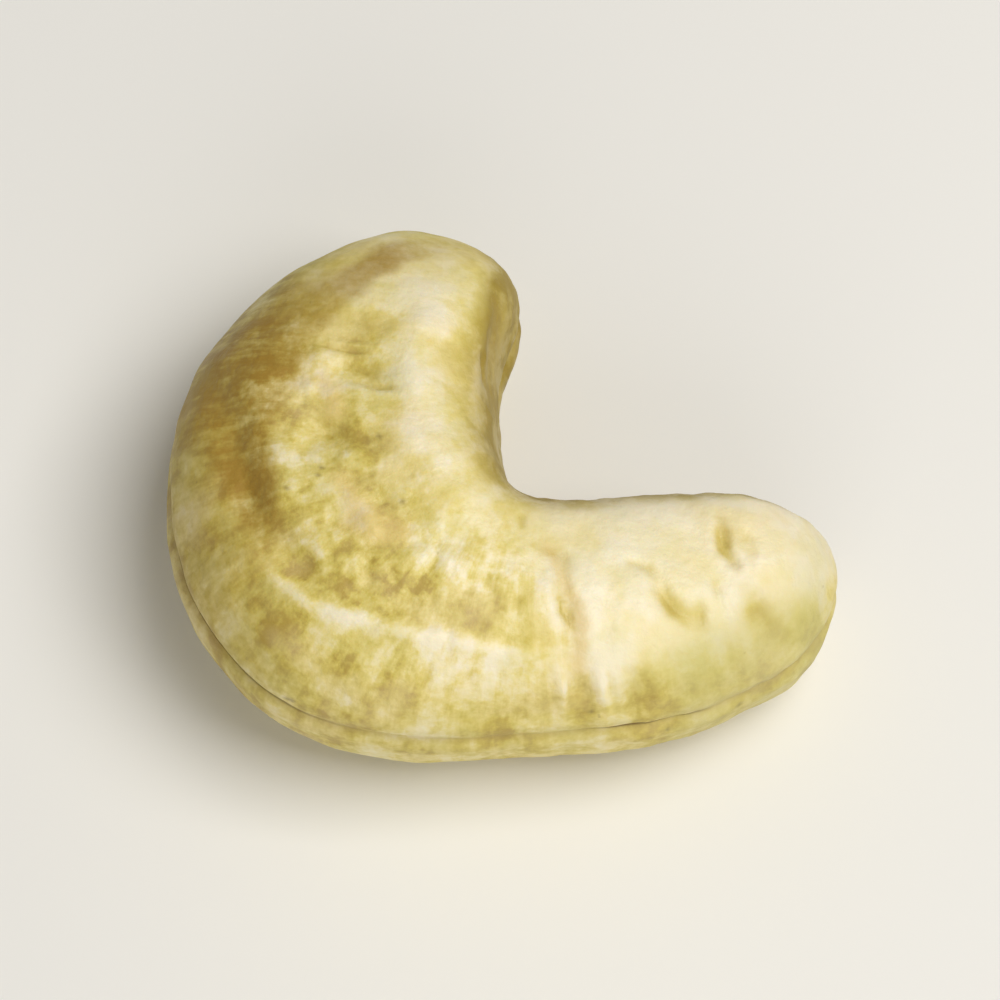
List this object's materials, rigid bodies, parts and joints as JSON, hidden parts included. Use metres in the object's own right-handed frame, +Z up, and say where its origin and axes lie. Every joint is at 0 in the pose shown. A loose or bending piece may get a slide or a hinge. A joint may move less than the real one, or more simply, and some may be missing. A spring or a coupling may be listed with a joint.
{
  "type": "cashew kernel",
  "caption": "Whole peeled cashew kernel, curled like a comma, with a seam round its outline, a fold inside the rim and creases across the slim end, lying on its side.",
  "frame": {"origin": "centre of the bounding box in plan, at the level of the three low flats it lies on", "axes": "+Z up with the kernel lying on its side, +X along the slim limb towards its tip, +Y towards the thick end, the outside of the curl towards -X and -Y"},
  "size_m": [0.0282, 0.0232, 0.0129],
  "materials": {
    "kernel": null
  },
  "bodies": {
    "root": {"cashew_kernel": "kernel"}
  },
  "joints": []
}
